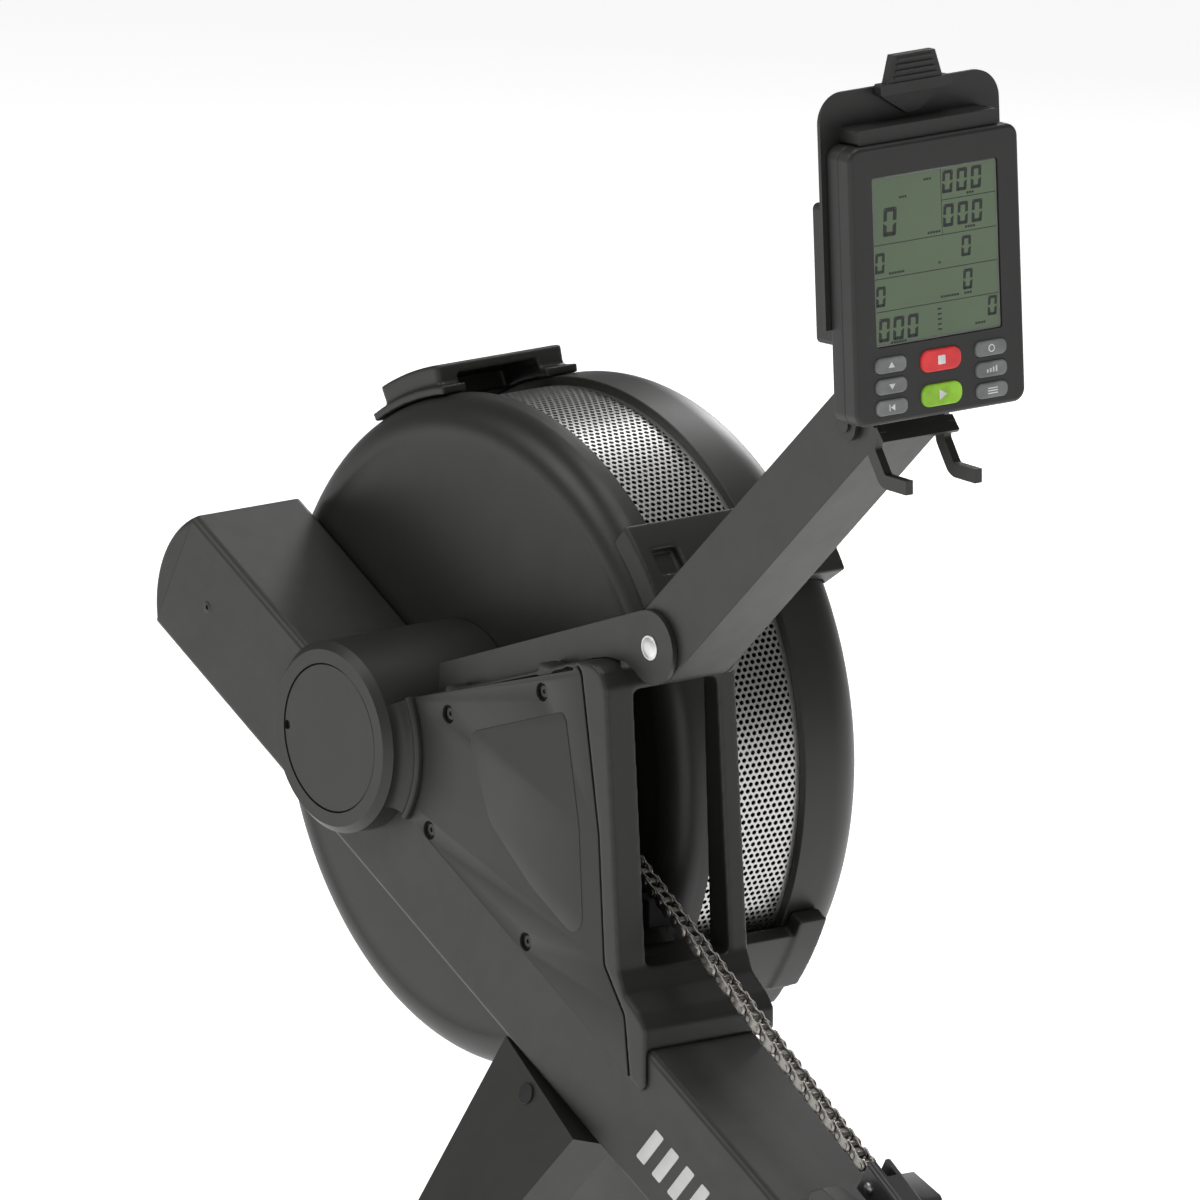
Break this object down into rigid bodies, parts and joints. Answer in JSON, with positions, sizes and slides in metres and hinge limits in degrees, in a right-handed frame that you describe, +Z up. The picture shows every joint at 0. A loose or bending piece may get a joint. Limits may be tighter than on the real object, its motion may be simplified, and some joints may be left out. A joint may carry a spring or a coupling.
{
  "type": "rowing machine",
  "caption": "Air rowing machine with a caged fan flywheel, chain-drawn handle, hinged monitor arm, sliding seat on a rail, foot plates and splayed feet.",
  "frame": {"origin": "on the floor, under the centre of the machine's bounding box", "axes": "+X from the flywheel to the rear foot, +Z up, -Y to the rower's left"},
  "size_m": [2.386, 0.6, 1.1569],
  "materials": {
    "frame_metal": "satin powder coat",
    "case_plastic": "satin moulded",
    "perforated_steel": "satin, punched",
    "rail_metal": "anodised",
    "chain_steel": "nickel plated",
    "machined_steel": "machined",
    "fan_metal": "satin",
    "pin_cap": "satin",
    "black_fastener": "black oxide",
    "black_rubber": "matte",
    "grip_foam": "matte foam",
    "handle_metal": "black anodised",
    "wheel_plastic": "matte",
    "monitor_plastic": "fine texture",
    "lcd": "lcd glass",
    "grey_key": "silicone",
    "red_key": "silicone",
    "green_key": "silicone",
    "foot_plastic": "textured",
    "strap_webbing": "woven webbing",
    "seat_vinyl": "grained vinyl",
    "carriage_metal": "satin"
  },
  "bodies": {
    "frame": {"main_beam": "frame_metal", "beam_end_cap": "case_plastic", "hub_housing": "case_plastic", "hub_cap": "case_plastic", "axle_bearings": "machined_steel", "chain_cover_plate": "case_plastic", "chain_case": "case_plastic", "cover_screws": "black_fastener", "left_fan_cover": "case_plastic", "right_fan_cover": "case_plastic", "perforated_band": "perforated_steel", "top_handle_bracket": "case_plastic", "upper_cage_bracket": "case_plastic", "lower_cage_bracket": "case_plastic", "arm_bracket": "frame_metal", "arm_pivot_pin": "pin_cap", "front_legs": "frame_metal", "frame_bolts": "black_fastener", "foot_end_caps": "black_rubber", "rail_mount_bracket": "frame_metal", "rail": "rail_metal", "rail_end_stops": "black_rubber", "rear_leg": "frame_metal", "footplates": "foot_plastic", "foot_straps": "strap_webbing", "handle_cradle": "frame_metal", "return_chain": "chain_steel", "bungee_cord": "black_rubber"},
    "flywheel": {"flywheel_fan": "fan_metal", "flywheel_axle": "machined_steel"},
    "sprocket": {"drive_sprocket": "machined_steel"},
    "idler": {"guide_idler": "machined_steel"},
    "chain_lead": {"chain_run": "chain_steel"},
    "handle": {"handle_bar": "handle_metal", "handle_grips": "grip_foam"},
    "pulley_block": {"return_pulley_block": "machined_steel"},
    "pulley": {"return_pulley": "machined_steel"},
    "bungee_wheel": {"bungee_pulley": "wheel_plastic"},
    "arm": {"arm_tube": "frame_metal", "handle_hooks": "frame_metal"},
    "monitor": {"monitor_front": "monitor_plastic", "monitor_back": "monitor_plastic", "lcd_screen": "lcd", "device_holder": "monitor_plastic"},
    "clip": {"device_clip": "monitor_plastic"},
    "seat": {"seat_pad": "seat_vinyl", "seat_carriage": "carriage_metal"},
    "front_rollers": {"front_seat_rollers": "wheel_plastic"},
    "rear_rollers": {"rear_seat_rollers": "wheel_plastic"},
    "wheels": {"transport_wheels": "wheel_plastic"},
    "left_heel": {"left_heel_cup": "foot_plastic"},
    "right_heel": {"right_heel_cup": "foot_plastic"},
    "stop_key": {"stop_button": "red_key"},
    "enter_key": {"enter_button": "green_key"},
    "up_key": {"up_button": "grey_key"},
    "down_key": {"down_button": "grey_key"},
    "back_key": {"back_button": "grey_key"},
    "target_key": {"target_button": "grey_key"},
    "interval_key": {"interval_button": "grey_key"},
    "history_key": {"history_button": "grey_key"}
  },
  "joints": [
    {"name": "flywheel_spin", "type": "hinge", "parent": "frame", "child": "flywheel", "pos_m": [-0.96832, 0, 0.6], "axis": [0, 1, 0], "continuous": true},
    {"name": "sprocket_spin", "type": "hinge", "parent": "frame", "child": "sprocket", "pos_m": [-0.96832, 0, 0.6], "axis": [0, 1, 0], "continuous": true},
    {"name": "idler_spin", "type": "hinge", "parent": "frame", "child": "idler", "pos_m": [-0.85254, 0, 0.61035], "axis": [0, 1, 0], "continuous": true},
    {"name": "chain_swing", "type": "hinge", "parent": "frame", "child": "chain_lead", "pos_m": [-0.85254, 0, 0.61035], "axis": [0, -1, 0], "range_deg": [0, 40]},
    {"name": "handle_pull", "type": "slide", "parent": "chain_lead", "child": "handle", "axis": [0.8515, 0, -0.5243], "range_m": [0, 1.05], "stiffness_N_per_m": 20, "springref_m": -0.6, "deforming": ["chain_run"]},
    {"name": "pulley_block_travel", "type": "slide", "parent": "frame", "child": "pulley_block", "axis": [0.8829, 0, -0.4695], "range_m": [-0.53, 0], "deforming": ["return_chain", "bungee_cord"]},
    {"name": "pulley_spin", "type": "hinge", "parent": "pulley_block", "child": "pulley", "pos_m": [-0.42227, 0, 0.26119], "axis": [0, 1, 0], "continuous": true},
    {"name": "bungee_wheel_spin", "type": "hinge", "parent": "frame", "child": "bungee_wheel", "pos_m": [-0.34546, 0.014, 0.22034], "axis": [0.4695, 0, 0.8829], "continuous": true},
    {"name": "arm_lift", "type": "hinge", "parent": "frame", "child": "arm", "pos_m": [-0.66632, 0, 0.714], "axis": [0, -1, 0], "range_deg": [-20, 45]},
    {"name": "monitor_tilt", "type": "hinge", "parent": "arm", "child": "monitor", "pos_m": [-0.45453, 0, 0.9047], "axis": [0, 1, 0], "range_deg": [-30, 5]},
    {"name": "clip_lift", "type": "slide", "parent": "monitor", "child": "clip", "axis": [-0.0523, 0, 0.9986], "range_m": [0, 0.022], "stiffness_N_per_m": 150, "springref_m": -0.015},
    {"name": "stop_press", "type": "slide", "parent": "monitor", "child": "stop_key", "axis": [-0.9986, 0, -0.0523], "range_m": [0, 0.0012], "stiffness_N_per_m": 400, "springref_m": -0.0008},
    {"name": "enter_press", "type": "slide", "parent": "monitor", "child": "enter_key", "axis": [-0.9986, 0, -0.0523], "range_m": [0, 0.0012], "stiffness_N_per_m": 400, "springref_m": -0.0008},
    {"name": "up_press", "type": "slide", "parent": "monitor", "child": "up_key", "axis": [-0.9986, 0, -0.0523], "range_m": [0, 0.0012], "stiffness_N_per_m": 400, "springref_m": -0.0008},
    {"name": "down_press", "type": "slide", "parent": "monitor", "child": "down_key", "axis": [-0.9986, 0, -0.0523], "range_m": [0, 0.0012], "stiffness_N_per_m": 400, "springref_m": -0.0008},
    {"name": "back_press", "type": "slide", "parent": "monitor", "child": "back_key", "axis": [-0.9986, 0, -0.0523], "range_m": [0, 0.0012], "stiffness_N_per_m": 400, "springref_m": -0.0008},
    {"name": "target_press", "type": "slide", "parent": "monitor", "child": "target_key", "axis": [-0.9986, 0, -0.0523], "range_m": [0, 0.0012], "stiffness_N_per_m": 400, "springref_m": -0.0008},
    {"name": "interval_press", "type": "slide", "parent": "monitor", "child": "interval_key", "axis": [-0.9986, 0, -0.0523], "range_m": [0, 0.0012], "stiffness_N_per_m": 400, "springref_m": -0.0008},
    {"name": "history_press", "type": "slide", "parent": "monitor", "child": "history_key", "axis": [-0.9986, 0, -0.0523], "range_m": [0, 0.0012], "stiffness_N_per_m": 400, "springref_m": -0.0008},
    {"name": "seat_slide", "type": "slide", "parent": "frame", "child": "seat", "axis": [1, 0, 0], "range_m": [-0.48, 0.52]},
    {"name": "front_roller_spin", "type": "hinge", "parent": "seat", "child": "front_rollers", "pos_m": [0.36168, 0, 0.2882], "axis": [0, 1, 0], "continuous": true},
    {"name": "rear_roller_spin", "type": "hinge", "parent": "seat", "child": "rear_rollers", "pos_m": [0.50168, 0, 0.2882], "axis": [0, 1, 0], "continuous": true},
    {"name": "wheel_spin", "type": "hinge", "parent": "frame", "child": "wheels", "pos_m": [-1.01232, 0, 0.032], "axis": [0, 1, 0], "continuous": true},
    {"name": "left_heel_slide", "type": "slide", "parent": "frame", "child": "left_heel", "axis": [-0.7431, 0, 0.6691], "range_m": [-0.02, 0.045]},
    {"name": "right_heel_slide", "type": "slide", "parent": "frame", "child": "right_heel", "axis": [-0.7431, 0, 0.6691], "range_m": [-0.02, 0.045]}
  ],
  "couplings": [
    {"joint": "chain_swing", "follows": "handle_pull", "rad_per_m": 0.66322},
    {"joint": "sprocket_spin", "follows": "handle_pull", "rad_per_m": 46.729},
    {"joint": "idler_spin", "follows": "handle_pull", "rad_per_m": 46.729},
    {"joint": "pulley_block_travel", "follows": "handle_pull", "ratio": -0.5},
    {"joint": "pulley_spin", "follows": "handle_pull", "rad_per_m": -23.364},
    {"joint": "bungee_wheel_spin", "follows": "handle_pull", "rad_per_m": -35.714},
    {"joint": "front_roller_spin", "follows": "seat_slide", "rad_per_m": 55.556},
    {"joint": "rear_roller_spin", "follows": "seat_slide", "rad_per_m": 55.556}
  ]
}
